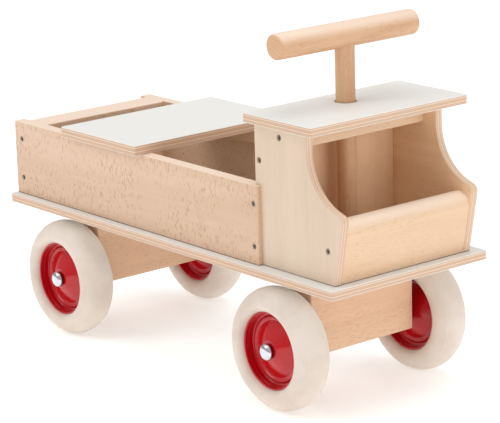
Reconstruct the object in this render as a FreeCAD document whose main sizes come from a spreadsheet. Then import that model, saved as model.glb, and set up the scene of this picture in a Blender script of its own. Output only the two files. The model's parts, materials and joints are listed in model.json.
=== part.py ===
import FreeCAD, Part
import os
import re
import Sketcher

# A child's push along truck in wood: sit-on seat board over an open cargo box, a cab with an
# open front, and a steering post that turns the whole front axle under the base board.
# +X is the way it drives, +Y its left side, +Z up. The origin is on the ground, under the
# middle of the outer box. Lengths are millimetres.

doc = FreeCAD.newDocument("PushAlongTruck")
sheet = doc.addObject("Spreadsheet::Sheet", "Dimensions")

driving = {
    # base board and the ground under it
    "baseLength": (600, "base board, rear edge to front edge"),
    "baseWidth": (230, "base board, side to side"),
    "baseThickness": (10.5, "plywood with laminate on both faces"),
    "baseUnderside": (148, "height of the base board's underside"),
    "kneeOverhang": (1.8, "how far the cab's knees stand out past the base board"),
    "cornerRound": (3, "plan rounding of the laminated boards' corners"),
    # wheels and axles
    "wheelRadius": (70, "tyre, outside"),
    "tyreSection": (24, "radius of the tyre's round section"),
    "tyreEdge": (8.5, "rounding of the tyre's faces in to the rim"),
    "rimRadius": (44.2, "bore of the tyre, where the rim sits"),
    "rimHalfWidth": (15.5, "rim lip, from the wheel's middle plane"),
    "sheetMetal": (1.5, "rim and disc thickness"),
    "flangeReach": (10, "edge of a disc's flange, from the wheel's middle plane"),
    "troughAt": (4.5, "trough beside a disc's flange, from the wheel's middle plane"),
    "ringAt": (7, "raised ring of a disc, from the wheel's middle plane"),
    "dishAt": (10.5, "middle of a disc's dished web, from the wheel's middle plane"),
    "dishRadius": (22, "middle of a disc's dished web"),
    "hubFaceAt": (16.5, "a disc's bore edge, from the wheel's middle plane"),
    "hubFaceRadius": (12, "flat round a disc's bore"),
    "hubReach": (17.4, "hub bush's outer end, from the wheel's middle plane"),
    "wheelTrack": (102.4, "middle plane of a wheel from the truck's middle"),
    "axleRadius": (5, "steel axle"),
    "bushRadius": (8, "nylon hub bush, outside"),
    "capRadius": (9.5, "domed push-on cap"),
    "capHeight": (5.6, "domed push-on cap"),
    "washerThickness": (1.2, "thrust washers"),
    "washerRadius": (9, "washers on the axles"),
    "rearAxleAt": (103, "rear axle from the base board's rear edge"),
    "frontAxleAt": (498, "front axle and steering post from the base board's rear edge"),
    "blockThickness": (45, "axle blocks, along the truck"),
    "blockLength": (151, "axle blocks, across the truck"),
    "blockBottom": (58.5, "height of the axle blocks' underside"),
    # cargo box
    "sideInset": (10, "cargo side's outer face from the base board's edge"),
    "sideThickness": (15, "cargo side"),
    "sideHeight": (90, "cargo side and rear board above the base board"),
    "sideRearAt": (1, "cargo side's rear end from the base board's rear edge"),
    "sideFrontAt": (469, "cargo side's front end from the base board's rear edge"),
    "lapLength": (9, "how far the cargo side laps over the cab side"),
    "sideRound": (3, "rounded outer arris of the cargo sides"),
    "rearBoardAt": (3, "rear board's outer face from the base board's rear edge"),
    "rearBoardThickness": (45, "rear board"),
    "rearBoardRound": (12, "rounded rear arris of the rear board"),
    "easedArris": (2, "small rounding on handled arrises"),
    "seatAt": (114.5, "seat board's rear edge from the base board's rear edge"),
    "seatLength": (146.5, "seat board, along the truck"),
    "seatThickness": (12, "seat board"),
    "battenSize": (18, "square battens under the seat board"),
    # cab
    "cabRearAt": (460, "cab side's rear edge from the base board's rear edge"),
    "cabPanelThickness": (9.5, "cab side"),
    "cabHeight": (162, "cab side above the base board"),
    "cabTopFrontAt": (546, "cab side's upright front edge from the base board's rear edge"),
    "cabCornerHeight": (94.9, "where upright and sloping edges would meet"),
    "cabArc": (62, "arc that joins the upright and sloping edges"),
    "cabKneeAt": (603, "knee's sharp corner from the base board's rear edge"),
    "cabKneeHeight": (76.4, "knee's sharp corner above the base board"),
    "cabKneeRound": (8, "rounding of the knee"),
    "cabFootAt": (588.5, "cab side's lower front corner from the base board's rear edge"),
    "backWallAt": (458, "cab back wall's rear face from the base board's rear edge"),
    "backWallThickness": (18, "cab back wall"),
    "bearingLength": (51, "post bearing board, along the truck"),
    "bearingThickness": (22.5, "post bearing board"),
    "frontPanelThickness": (30, "cab front panel"),
    "frontPanelHeight": (70, "cab front panel above the base board"),
    "frontPanelSetBack": (1, "front panel behind the cab sides' front edges"),
    "frontPanelRound": (14, "rounded top of the front panel"),
    "roofAt": (459, "roof board's rear edge from the base board's rear edge"),
    "roofLength": (112, "roof board, along the truck"),
    "roofThickness": (10.5, "roof board"),
    "roofClearance": (1.5, "open ring round the post in the roof board"),
    # steering
    "postRadius": (11, "steering post"),
    "postBottom": (88, "height of the post's lower end, inside the front block"),
    "postTop": (412, "height of the post's upper end, inside the handlebar"),
    "barRadius": (14.5, "handlebar"),
    "barLength": (200, "handlebar"),
    "barHeight": (405.5, "height of the handlebar's axis"),
    "barRound": (3, "rounded ends of the handlebar"),
    "runningGap": (0.06, "radial clearance of the turning fits"),
    "faceGap": (0.4, "gap between faces that turn past each other"),
    "bushFlange": (2, "flange of the post bush"),
    "bushWall": (3, "wall of the post bush"),
    "collarRadius": (20, "retaining collar and bush flange"),
    "collarHeight": (14, "retaining collar"),
    "stopRadius": (6, "steering stop pegs"),
    "stopBack": (45, "stop pegs behind the post"),
    "stopAside": (20, "stop pegs to each side of the post"),
    "stopDrop": (18, "stop pegs below the base board"),
    # fasteners
    "headRadius": (3.4, "countersunk screw head"),
    "headDepth": (2.6, "countersunk screw head"),
    "shankRadius": (1.9, "screw shank"),
    "keyRadius": (1.7, "hexagon recess in the screw head"),
    "screwFit": (0.05, "play round a screw in its hole"),
    "cargoScrew": (34, "screws of the cargo sides and the floor"),
    "cabScrew": (28, "screws of the cab sides"),
    "blockScrew": (45, "screws down into the rear axle block"),
    "seatScrew": (26, "screws up into the seat board"),
    "roofScrew": (29, "screws up into the roof board"),
    "lowScrew": (20.5, "lower cargo side screws above the base board"),
    "highScrew": (69, "upper cargo side screws above the base board"),
    "rearScrewAt": (15.5, "rear cargo side screws from the base board's rear edge"),
    "lapScrewAt": (3.2, "front cargo side screws in front of the back wall's rear face"),
    "wallScrew": (118, "cab side screw into the back wall, above the base board"),
    "bearingScrew": (148.5, "cab side screw into the bearing board, above the base board"),
    "panelScrew": (37, "cab side screw into the front panel, above the base board"),
    "panelScrewBack": (10.5, "the same screw behind the cab's lower front corner"),
    "pinRadius": (3, "cross pins through the post"),
    "collarPinRadius": (1.5, "pin through the retaining collar"),
    "pinSink": (1, "how far a pin's end lies under the surface"),
    "blockPinAt": (27, "cross pin above the post's lower end"),
}

# Positions worked out from the driving dimensions.
derived = {
    "rearEdge": "(0 - (baseLength + kneeOverhang) / 2)",
    "floorTop": "(baseUnderside + baseThickness)",
    "rearAxleX": "(rearEdge + rearAxleAt)",
    "postX": "(rearEdge + frontAxleAt)",
    "sideOuter": "(baseWidth / 2 - sideInset)",
    "sideInner": "(sideOuter - sideThickness)",
    "cabInner": "sideInner",
    "cabOuter": "(cabInner + cabPanelThickness)",
    "boxTop": "(floorTop + sideHeight)",
    "roofUnderside": "(floorTop + cabHeight)",
    "backWallFront": "(rearEdge + backWallAt + backWallThickness)",
    "bearingUnderside": "(roofUnderside - bearingThickness)",
    "frontBlockTop": "(baseUnderside - faceGap - washerThickness)",
    "hubInnerEnd": "(blockLength / 2 + washerThickness + faceGap)",
    "hubOuterEnd": "(wheelTrack + hubReach)",
    "capSeat": "(hubOuterEnd + faceGap + washerThickness)",
    "collarUnderside": "(floorTop + bushFlange + faceGap)",
    "lean": "((cabKneeAt - cabFootAt) / cabKneeHeight)",
}


def fillSheet():
    for row, (alias, (value, note)) in enumerate(driving.items(), start=1):
        sheet.set(f"A{row}", note)
        sheet.set(f"B{row}", str(value))
        sheet.setAlias(f"B{row}", alias)
    doc.recompute()


def expression(text):
    """Write a formula in aliases as a FreeCAD expression on the sheet."""
    text = str(text)
    names = re.compile(r"[A-Za-z]\w*")
    while any(word in derived for word in names.findall(text)):
        text = names.sub(lambda found: derived.get(found[0], found[0]), text)
    return names.sub(lambda found: f"Dimensions.{found[0]}" if found[0] in driving else found[0], text)


def bind(item, **formulas):
    for name, formula in formulas.items():
        item.setExpression(name, expression(formula))
    return item


def place(item, x=0, y=0, z=0, turn=None):
    if turn:
        axis, angle = turn
        item.Placement = FreeCAD.Placement(FreeCAD.Vector(), FreeCAD.Rotation(FreeCAD.Vector(*axis), angle))
    for axis, formula in zip("xyz", (x, y, z)):
        item.setExpression(f"Placement.Base.{axis}", expression(formula))
    return item


def finish(item, label):
    """Name a finished sub-part: its Label is also its file's name."""
    item.Label = label
    subParts.append(item)
    return item


subParts = []
fillSheet()

# Turns that lay a part made along +Z over onto another direction.
alongX = ((0, 1, 0), 90)
alongMinusX = ((0, 1, 0), -90)
alongY = ((1, 0, 0), -90)
alongMinusY = ((1, 0, 0), 90)
downwards = ((1, 0, 0), 180)


def cylinder(radius, length, x, y, z, turn=None):
    item = doc.addObject("Part::Cylinder", "Cylinder")
    return place(bind(item, Radius=radius, Height=length), x, y, z, turn)


def cone(foot, top, length, x, y, z, turn=None):
    item = doc.addObject("Part::Cone", "Cone")
    return place(bind(item, Radius1=foot, Radius2=top, Height=length), x, y, z, turn)


def cut(base, *tools):
    """Take tools away from base; several tools are fused first."""
    tool = tools[0]
    if len(tools) > 1:
        tool = doc.addObject("Part::MultiFuse", "Tools")
        tool.Shapes = list(tools)
    item = doc.addObject("Part::Cut", "Cut")
    item.Base = base
    item.Tool = tool
    return item


def edgesAlong(shape, axis, **ends):
    """Names of the straight edges along one axis that lie at the named ends of the shape's box."""
    box = shape.BoundBox
    limits = {
        "x": (box.XMin, box.XMax),
        "y": (box.YMin, box.YMax),
        "z": (box.ZMin, box.ZMax),
    }
    names = []
    for number, edge in enumerate(shape.Edges, start=1):
        if not isinstance(edge.Curve, Part.Line):
            continue
        middle = edge.CenterOfMass
        direction = edge.tangentAt(edge.FirstParameter)
        along = abs(getattr(direction, axis)) > 0.999
        near = all(abs(getattr(middle, name) - limits[name][end]) < 0.01 for name, end in ends.items())
        if along and near:
            names.append(f"Edge{number}")
    return names


def roundEdges(shape):
    """Names of the full circles among a shape's edges."""
    return [f"Edge{number}" for number, edge in enumerate(shape.Edges, start=1)
            if isinstance(edge.Curve, Part.Circle) and edge.isClosed()
            and edge.Curve.Axis.isParallel(FreeCAD.Vector(0, 0, 1), 0.01)]


def span(ends):
    return f"({ends[1]}) - ({ends[0]})"


LOW, HIGH = 0, 1


class Board:
    """A PartDesign body that starts as a box and is then rounded and notched."""

    def __init__(self, x, y, z):
        self.body = doc.addObject("PartDesign::Body", "Board")
        self.low = (x[0], y[0], z[0])
        block = self.body.newObject("PartDesign::AdditiveBox", "Block")
        bind(block, Length=span(x), Width=span(y), Height=span(z))
        place(self.body, *self.low)
        self.tip = block
        doc.recompute()

    def round(self, radius, axis, **ends):
        edges = edgesAlong(self.tip.Shape, axis, **ends)
        fillet = self.body.newObject("PartDesign::Fillet", "Round")
        fillet.Base = (self.tip, edges)
        bind(fillet, Radius=radius)
        self.tip = fillet
        doc.recompute()
        return self

    def notch(self, x, y, z):
        """Cut a box, given in the truck's frame, out of the board."""
        step = self.body.newObject("PartDesign::SubtractiveBox", "Notch")
        bind(step, Length=span(x), Width=span(y), Height=span(z))
        offset = [span((corner, near[0])) for near, corner in zip((x, y, z), self.low)]
        place(step, *offset)
        self.tip = step
        doc.recompute()
        return self


def outline(body, plane, points):
    """A closed sketch of straight lines on one of the body's origin planes, every corner bound."""
    role = next(item for item in body.Origin.OriginFeatures if item.Role == plane)
    sketch = body.newObject("Sketcher::SketchObject", "Outline")
    sketch.AttachmentSupport = [(role, "")]
    sketch.MapMode = "FlatFace"
    sizes = [tuple(sizeOf(value) for value in point) for point in points]
    count = len(points)
    for number in range(count):
        start = FreeCAD.Vector(*sizes[number], 0)
        end = FreeCAD.Vector(*sizes[(number + 1) % count], 0)
        sketch.addGeometry(Part.LineSegment(start, end), False)
    for number in range(count):
        sketch.addConstraint(Sketcher.Constraint("Coincident", number, 2, (number + 1) % count, 1))
    for number, (point, size) in enumerate(zip(points, sizes)):
        for kind, formula, value in zip(("DistanceX", "DistanceY"), point, size):
            index = sketch.addConstraint(Sketcher.Constraint(kind, -1, 1, number, 1, value))
            sketch.setExpression(f"Constraints[{index}]", expression(formula))
    return sketch


gauge = doc.addObject("Part::Vertex", "Gauge")


def sizeOf(formula):
    """The present value of a formula, read through a gauge vertex."""
    gauge.setExpression("X", expression(formula))
    gauge.recompute()
    return gauge.X.Value


def padded(points, thickness, y):
    """A body whose outline is in the XZ plane, from y towards -Y by its thickness."""
    body = doc.addObject("PartDesign::Body", "Panel")
    sketch = outline(body, "XZ_Plane", points)
    pad = body.newObject("PartDesign::Pad", "Pad")
    pad.Profile = sketch
    bind(pad, Length=thickness)
    place(body, 0, y, 0)
    doc.recompute()
    return body, pad


def turned(points, label, x, y, z, turn):
    """A body turned about its own +Z from an outline of radius and height."""
    body = doc.addObject("PartDesign::Body", "Turned")
    sketch = outline(body, "XZ_Plane", points)
    revolution = body.newObject("PartDesign::Revolution", "Revolution")
    revolution.Profile = sketch
    revolution.ReferenceAxis = (sketch, ["V_Axis"])
    revolution.Angle = 360
    place(body, x, y, z, turn)
    return finish(body, label)


def filletEdges(body, base, edges, radius):
    fillet = body.newObject("PartDesign::Fillet", "Round")
    fillet.Base = (base, edges)
    bind(fillet, Radius=radius)
    doc.recompute()
    return fillet


# Screws: a countersunk head with a hexagon recess, sunk flush, and a plain shank.

def screw(x, y, z, turn, length):
    """One screw whose head's face is at x, y, z; turn points its shank. Returns it and its hole."""
    def parts(play):
        head = cone(f"headRadius + {play}", f"shankRadius + {play}", "headDepth", x, y, z, turn)
        shank = cylinder(f"shankRadius + {play}", f"{length} + {play}", x, y, z, turn)
        fused = doc.addObject("Part::MultiFuse", "Screw")
        fused.Shapes = [head, shank]
        return fused
    recess = doc.addObject("Part::Prism", "Recess")
    recess.Polygon = 6
    place(bind(recess, Circumradius="keyRadius", Height="headDepth * 0.7"), x, y, z, turn)
    return cut(parts("0"), recess), parts("screwFit")


def group(label, items):
    bundle = doc.addObject("Part::Compound", "Group")
    bundle.Links = items
    return finish(bundle, label)


def screwRow(label, length, turnsAt):
    """A group of like screws. Each entry is x, y, z and a turn; returns their holes."""
    made = [screw(x, y, z, turn, length) for x, y, z, turn in turnsAt]
    group(label, [item for item, hole in made])
    return [hole for item, hole in made]


def bothSides(entries):
    """Entries for screws driven inwards from the right side, and their mirror images."""
    right = [(x, f"0 - {y}", z, alongY) for x, y, z in entries]
    left = [(x, y, z, alongMinusY) for x, y, z in entries]
    return right, left


def fromRear(distance):
    return f"rearEdge + {distance}"


def above(height):
    return f"floorTop + {height}"


cargoRight, cargoLeft = bothSides([
    (fromRear(distance), "sideOuter", above(height))
    for distance in ("rearScrewAt", "backWallAt + lapScrewAt") for height in ("lowScrew", "highScrew")
])
cabRight, cabLeft = bothSides([
    ("backWallFront - backWallThickness / 2", "cabOuter", above("wallScrew")),
    ("backWallFront + bearingLength / 2", "cabOuter", above("bearingScrew")),
    (fromRear("cabFootAt - panelScrewBack"), "cabOuter", above("panelScrew")),
])
cargoHoles = screwRow("cargo_side_screws", "cargoScrew", cargoRight + cargoLeft)
cabHoles = screwRow("cab_side_screws", "cabScrew", cabRight + cabLeft)
floorHoles = screwRow("floor_screws", "cargoScrew", [
    (fromRear(distance), f"{side} * (sideInner + sideThickness / 2)", "baseUnderside", None)
    for distance in (60, 235, 405) for side in (-1, 1)
] + [
    (fromRear(distance), f"{side} * 55", "baseUnderside", None)
    for distance in ("rearBoardAt + 24", "backWallAt + 9", "cabFootAt - 14") for side in (-1, 1)
])
blockHoles = screwRow("rear_block_screws", "blockScrew", [
    ("rearAxleX", f"{side} * 45", "floorTop", downwards) for side in (-1, 1)
])
seatHoles = screwRow("seat_screws", "seatScrew", [
    (f"{fromRear('seatAt')} + {distance}", f"{side} * (sideInner - battenSize / 2)",
     "boxTop - battenSize", None)
    for distance in (30, "seatLength - 30") for side in (-1, 1)
])
roofHoles = screwRow("roof_screws", "roofScrew", [
    ("backWallFront + 27", f"{side} * 62", "bearingUnderside", None) for side in (-1, 1)
])


def makeBase():
    board = Board(("rearEdge", "rearEdge + baseLength"), ("0 - baseWidth / 2", "baseWidth / 2"),
                  ("baseUnderside", "floorTop"))
    for end in (LOW, HIGH):
        board.round("cornerRound", "z", x=end)
    bore = cylinder("postRadius + bushWall", "baseThickness", "postX", 0, "baseUnderside")
    pegs = [
        cylinder("stopRadius", "baseThickness", "postX - stopBack", f"{side} * stopAside", "baseUnderside")
        for side in (-1, 1)
    ]
    finish(cut(board.body, bore, *pegs, *floorHoles, *blockHoles), "base_board")


def makeCargoBox():
    length = ("rearEdge + sideRearAt", "rearEdge + sideFrontAt")
    lap = ("rearEdge + cabRearAt", "rearEdge + sideFrontAt + 1")
    height = ("floorTop", "boxTop")
    for side, y, lapY, outer in (
        ("right", ("0 - sideOuter", "0 - sideInner"), ("0 - cabOuter", "0 - sideInner + 1"), LOW),
        ("left", ("sideInner", "sideOuter"), ("sideInner - 1", "cabOuter"), HIGH),
    ):
        board = Board(length, y, height)
        board.round("sideRound", "x", y=outer, z=HIGH)
        board.round("easedArris", "z", x=HIGH, y=outer)
        board.round("easedArris", "z", x=LOW, y=outer)
        board.notch(lap, lapY, ("floorTop - 1", "boxTop + 1"))
        finish(cut(board.body, *cargoHoles, *floorHoles), f"cargo_side_{side}")
    rear = Board(("rearEdge + rearBoardAt", "rearEdge + rearBoardAt + rearBoardThickness"),
                 ("0 - sideInner", "sideInner"), height)
    rear.round("rearBoardRound", "y", x=LOW, z=HIGH).round("easedArris", "y", x=HIGH, z=HIGH)
    finish(cut(rear.body, *cargoHoles, *floorHoles), "rear_board")


def makeSeat():
    length = ("rearEdge + seatAt", "rearEdge + seatAt + seatLength")
    seat = Board(length, ("0 - baseWidth / 2", "baseWidth / 2"), ("boxTop", "boxTop + seatThickness"))
    for end in (LOW, HIGH):
        seat.round("cornerRound", "z", x=end)
    finish(cut(seat.body, *seatHoles), "seat_board")
    for side, y in (("right", ("0 - sideInner", "battenSize - sideInner")),
                    ("left", ("sideInner - battenSize", "sideInner"))):
        batten = Board((length[0] + " + 4", length[1] + " - 4"), y, ("boxTop - battenSize", "boxTop"))
        finish(cut(batten.body, *seatHoles), f"seat_batten_{side}")


def makeCabSides():
    points = [
        ("rearEdge + cabRearAt", "floorTop"),
        ("rearEdge + cabFootAt", "floorTop"),
        ("rearEdge + cabKneeAt", "floorTop + cabKneeHeight"),
        ("rearEdge + cabTopFrontAt", "floorTop + cabCornerHeight"),
        ("rearEdge + cabTopFrontAt", "roofUnderside"),
        ("rearEdge + cabRearAt", "roofUnderside"),
    ]
    for side, y in (("right", "0 - cabInner"), ("left", "cabOuter")):
        body, tip = padded(points, "cabPanelThickness", y)
        knee = edgesAlong(tip.Shape, "y", x=HIGH)
        tip = filletEdges(body, tip, knee, "cabKneeRound")
        box = tip.Shape.BoundBox
        hollow = [
            name for name in edgesAlong(tip.Shape, "y")
            if box.XMin + 50 < tip.Shape.getElement(name).CenterOfMass.x < box.XMax - 20
            and box.ZMin + 50 < tip.Shape.getElement(name).CenterOfMass.z < box.ZMax - 20
        ]
        filletEdges(body, tip, hollow, "cabArc")
        finish(cut(body, *cabHoles, *cargoHoles), f"cab_side_{side}")


def makeCabInside():
    across = ("0 - cabInner", "cabInner")
    wall = Board(("rearEdge + backWallAt", "backWallFront"), across, ("floorTop", "roofUnderside"))
    finish(cut(wall.body, *cargoHoles, *cabHoles, *floorHoles), "cab_back_wall")
    bearing = Board(("backWallFront", "backWallFront + bearingLength"), across,
                    ("bearingUnderside", "roofUnderside"))
    bore = cylinder("postRadius + runningGap", "bearingThickness", "postX", 0, "bearingUnderside")
    finish(cut(bearing.body, bore, *cabHoles, *roofHoles), "bearing_board")
    front = "rearEdge + cabFootAt - frontPanelSetBack"
    body, tip = padded([
        (f"{front} - frontPanelThickness", "floorTop"),
        (front, "floorTop"),
        (f"{front} + lean * frontPanelHeight", "floorTop + frontPanelHeight"),
        (f"{front} + lean * frontPanelHeight - frontPanelThickness", "floorTop + frontPanelHeight"),
    ], "2 * cabInner", "cabInner")
    filletEdges(body, tip, edgesAlong(tip.Shape, "y", z=HIGH), "frontPanelRound")
    finish(cut(body, *cabHoles, *floorHoles), "cab_front_panel")


def makeRoof():
    roof = Board(("rearEdge + roofAt", "rearEdge + roofAt + roofLength"),
                 ("0 - baseWidth / 2", "baseWidth / 2"), ("roofUnderside", "roofUnderside + roofThickness"))
    for end in (LOW, HIGH):
        roof.round("cornerRound", "z", x=end)
    hole = cylinder("postRadius + roofClearance", "roofThickness", "postX", 0, "roofUnderside")
    finish(cut(roof.body, hole, *roofHoles), "roof_board")


def makeAxleBlock(label, x, top, *holes):
    block = Board((f"{x} - blockThickness / 2", f"{x} + blockThickness / 2"),
                  ("0 - blockLength / 2", "blockLength / 2"), ("blockBottom", top))
    for side in (LOW, HIGH):
        block.round("easedArris", "z", y=side)
    bore = cylinder("axleRadius", "blockLength", x, "0 - blockLength / 2", "wheelRadius", alongY)
    finish(cut(block.body, bore, *holes), label)


def makeAxle(end, x):
    """The axle rod, its four washers and its two domed caps."""
    reach = "(capSeat + capHeight * 0.6)"
    rod = cylinder("axleRadius", f"2 * {reach}", x, f"0 - {reach}", "wheelRadius", alongY)
    finish(rod, f"{end}_axle")
    washers = []
    caps = []
    for sign, turn in ((-1, alongMinusY), (1, alongY)):
        for start in ("blockLength / 2", "(hubOuterEnd + faceGap)"):
            disc = cylinder("washerRadius", "washerThickness", x, f"{sign} * {start}", "wheelRadius", turn)
            hole = cylinder("axleRadius", "washerThickness", x, f"{sign} * {start}", "wheelRadius", turn)
            washers.append(cut(disc, hole))
        seat = f"{sign} * capSeat"
        skirt = cylinder("capRadius", "capHeight * 0.55", x, seat, "wheelRadius", turn)
        crown = cone("capRadius", "capRadius * 0.55", "capHeight * 0.45", x,
                     f"{sign} * (capSeat + capHeight * 0.55)", "wheelRadius", turn)
        whole = doc.addObject("Part::MultiFuse", "Cap")
        whole.Shapes = [skirt, crown]
        socket = cylinder("axleRadius", "capHeight * 0.6", x, seat, "wheelRadius", turn)
        caps.append(cut(whole, socket))
    group(f"{end}_axle_washers", washers)
    group(f"{end}_axle_caps", caps)


def makeWheel(corner, x, sign):
    """Tyre, rolled rim, two dished discs and hub bush. Heights run outwards from the middle plane."""
    turn = alongY if sign > 0 else alongMinusY
    middle = f"{sign} * wheelTrack"
    tyre = doc.addObject("PartDesign::Body", "Tyre")
    ring = tyre.newObject("PartDesign::AdditiveTorus", "Ring")
    bind(ring, Radius1="wheelRadius - tyreSection", Radius2="tyreSection")
    bore = tyre.newObject("PartDesign::SubtractiveCylinder", "Bore")
    place(bind(bore, Radius="rimRadius", Height="3 * tyreSection"), z="0 - 1.5 * tyreSection")
    doc.recompute()
    filletEdges(tyre, bore, roundEdges(bore.Shape), "tyreEdge")
    place(tyre, x, middle, "wheelRadius", turn)
    finish(tyre, f"{corner}_tyre")
    wall = "rimRadius - sheetMetal"
    turned([
        ("rimRadius", "0 - rimHalfWidth"), ("rimRadius", "rimHalfWidth"), (wall, "rimHalfWidth"),
        (wall, "0 - rimHalfWidth"),
    ], f"{corner}_rim", x, middle, "wheelRadius", turn)
    for name, way in (("outer", 1), ("inner", -1)):
        lip = f"{wall} - sheetMetal"
        face = [(lip, "flangeReach"), (lip, "troughAt + 0.5"), ("rimRadius - 6", "troughAt"),
                ("rimRadius - 8", "ringAt"), ("rimRadius - 11", "ringAt - 2"), ("dishRadius", "dishAt"),
                ("hubFaceRadius", "hubFaceAt - 1"), ("bushRadius", "hubFaceAt")]
        back = [("bushRadius", "hubFaceAt - sheetMetal"), ("hubFaceRadius", "hubFaceAt - 1 - sheetMetal"),
                ("dishRadius", "dishAt - sheetMetal"), ("rimRadius - 11", "ringAt - 2 - sheetMetal"),
                ("rimRadius - 8", "ringAt - 1.1 * sheetMetal"), ("rimRadius - 6.3", "troughAt - sheetMetal"),
                (wall, "troughAt - sheetMetal + 0.5"), (wall, "flangeReach")]
        shell = [(radius, f"{way} * ({height})") for radius, height in face + back]
        turned(shell, f"{corner}_{name}_disc", x, middle, "wheelRadius", turn)
    hub = "axleRadius + runningGap"
    turned([
        (hub, "hubInnerEnd - wheelTrack"), ("bushRadius", "hubInnerEnd - wheelTrack"),
        ("bushRadius", "hubOuterEnd - wheelTrack"), (hub, "hubOuterEnd - wheelTrack"),
    ], f"{corner}_hub_bush", x, middle, "wheelRadius", turn)


def makeSteering():
    post = cylinder("postRadius", "postTop - postBottom", "postX", 0, "postBottom")
    barPin = finish(cylinder("pinRadius", "barRadius + postRadius / 2", "postX - barRadius + pinSink", 0,
                             "barHeight - 2 * pinSink", alongX), "handlebar_pin")
    blockPin = finish(cylinder("pinRadius", "blockThickness / 2 + postRadius + 4 * pinSink",
                               "postX - blockThickness / 2", 0, "postBottom + blockPinAt", alongX), "post_pin")
    collarPin = finish(cylinder("collarPinRadius", "2 * (collarRadius - pinSink)",
                                "postX - collarRadius + pinSink", 0, "collarUnderside + collarHeight / 2",
                                alongX), "collar_pin")
    finish(cut(post, barPin, blockPin, collarPin), "steering_post")
    bar = doc.addObject("PartDesign::Body", "Bar")
    rod = bar.newObject("PartDesign::AdditiveCylinder", "Rod")
    bind(rod, Radius="barRadius", Height="barLength")
    doc.recompute()
    filletEdges(bar, rod, roundEdges(rod.Shape), "barRound")
    place(bar, "postX", "0 - barLength / 2", "barHeight", alongY)
    barSocket = cylinder("postRadius", "postTop - barHeight + barRadius", "postX", 0, "barHeight - barRadius")
    finish(cut(bar, barSocket, barPin), "handlebar")
    ring = cylinder("collarRadius", "collarHeight", "postX", 0, "collarUnderside")
    collarBore = cylinder("postRadius", "collarHeight", "postX", 0, "collarUnderside")
    finish(cut(ring, collarBore, collarPin), "post_collar")
    socket = cylinder("postRadius", "frontBlockTop - postBottom", "postX", 0, "postBottom")
    makeAxleBlock("front_axle_block", "postX", "frontBlockTop", socket, blockPin)
    plate = cylinder("collarRadius", "washerThickness", "postX", 0, "frontBlockTop")
    plateHole = cylinder("postRadius", "washerThickness", "postX", 0, "frontBlockTop")
    finish(cut(plate, plateHole), "thrust_washer")


def makePostBushAndStops():
    running = "postRadius + runningGap"
    outside = "postRadius + bushWall"
    flangeTop = "floorTop + bushFlange"
    turned([
        (running, "baseUnderside"), (outside, "baseUnderside"), (outside, "floorTop"),
        ("collarRadius", "floorTop"), ("collarRadius", flangeTop), (running, flangeTop),
    ], "post_bush", "postX", 0, 0, None)
    group("steering_stops", [
        cylinder("stopRadius", "baseThickness + stopDrop", "postX - stopBack", f"{side} * stopAside",
                 "baseUnderside - stopDrop")
        for side in (-1, 1)
    ])


makeBase()
makeCargoBox()
makeSeat()
makeCabSides()
makeCabInside()
makeRoof()
makePostBushAndStops()
makeSteering()
makeAxleBlock("rear_axle_block", "rearAxleX", "baseUnderside", *blockHoles)
for end, x in (("rear", "rearAxleX"), ("front", "postX")):
    makeAxle(end, x)
    for side, sign in (("right", -1), ("left", 1)):
        makeWheel(f"{end}_{side}", x, sign)

doc.recompute()
faults = [item.Label for item in doc.Objects if "Invalid" in item.State or "Error" in item.State]
faults += [item.Label for item in subParts if item.Shape.isNull() or not item.Shape.isValid()]
if faults:
    raise RuntimeError("failed: " + ", ".join(faults))
os.makedirs("parts", exist_ok=True)
for item in subParts:
    item.Shape.exportStep(f"parts/{item.Label}.step")
    print(f"{item.Label}: {len(item.Shape.Solids)} solid(s), {item.Shape.Volume / 1000:.2f} cm3")
print(len(subParts), "sub-parts")
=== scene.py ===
import json
import math
import bmesh
import bpy
from mathutils import Matrix, Vector


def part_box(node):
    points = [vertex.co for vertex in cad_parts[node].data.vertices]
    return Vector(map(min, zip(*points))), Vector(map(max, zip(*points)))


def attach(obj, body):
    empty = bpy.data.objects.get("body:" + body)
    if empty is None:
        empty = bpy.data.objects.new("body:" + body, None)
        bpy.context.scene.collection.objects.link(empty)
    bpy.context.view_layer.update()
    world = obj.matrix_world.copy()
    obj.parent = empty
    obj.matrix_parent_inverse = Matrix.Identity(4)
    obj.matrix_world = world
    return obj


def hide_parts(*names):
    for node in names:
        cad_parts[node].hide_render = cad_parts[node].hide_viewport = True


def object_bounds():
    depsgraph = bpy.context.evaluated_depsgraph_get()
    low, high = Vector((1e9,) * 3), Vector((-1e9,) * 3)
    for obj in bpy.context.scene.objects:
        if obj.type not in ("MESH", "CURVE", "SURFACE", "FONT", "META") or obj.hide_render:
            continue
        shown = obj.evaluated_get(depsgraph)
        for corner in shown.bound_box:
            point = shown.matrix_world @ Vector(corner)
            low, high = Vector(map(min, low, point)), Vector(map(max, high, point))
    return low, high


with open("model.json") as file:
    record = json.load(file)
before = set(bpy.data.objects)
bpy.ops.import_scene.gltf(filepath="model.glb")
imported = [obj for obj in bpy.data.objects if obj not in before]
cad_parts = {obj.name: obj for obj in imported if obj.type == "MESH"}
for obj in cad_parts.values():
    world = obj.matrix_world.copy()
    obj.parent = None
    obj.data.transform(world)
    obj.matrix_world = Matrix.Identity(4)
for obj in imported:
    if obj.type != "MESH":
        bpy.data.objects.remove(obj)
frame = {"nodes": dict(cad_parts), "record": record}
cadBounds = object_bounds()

record = frame["record"]
nodeBody = {node: body for body, nodes in record["behaviour"]["bodies"].items() for node in nodes}
mm = 0.001
sides = (("Right", -1), ("Left", 1))    # +X is forwards and +Y is the truck's left
print("frame loaded:", len(nodeBody), "nodes")


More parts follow.
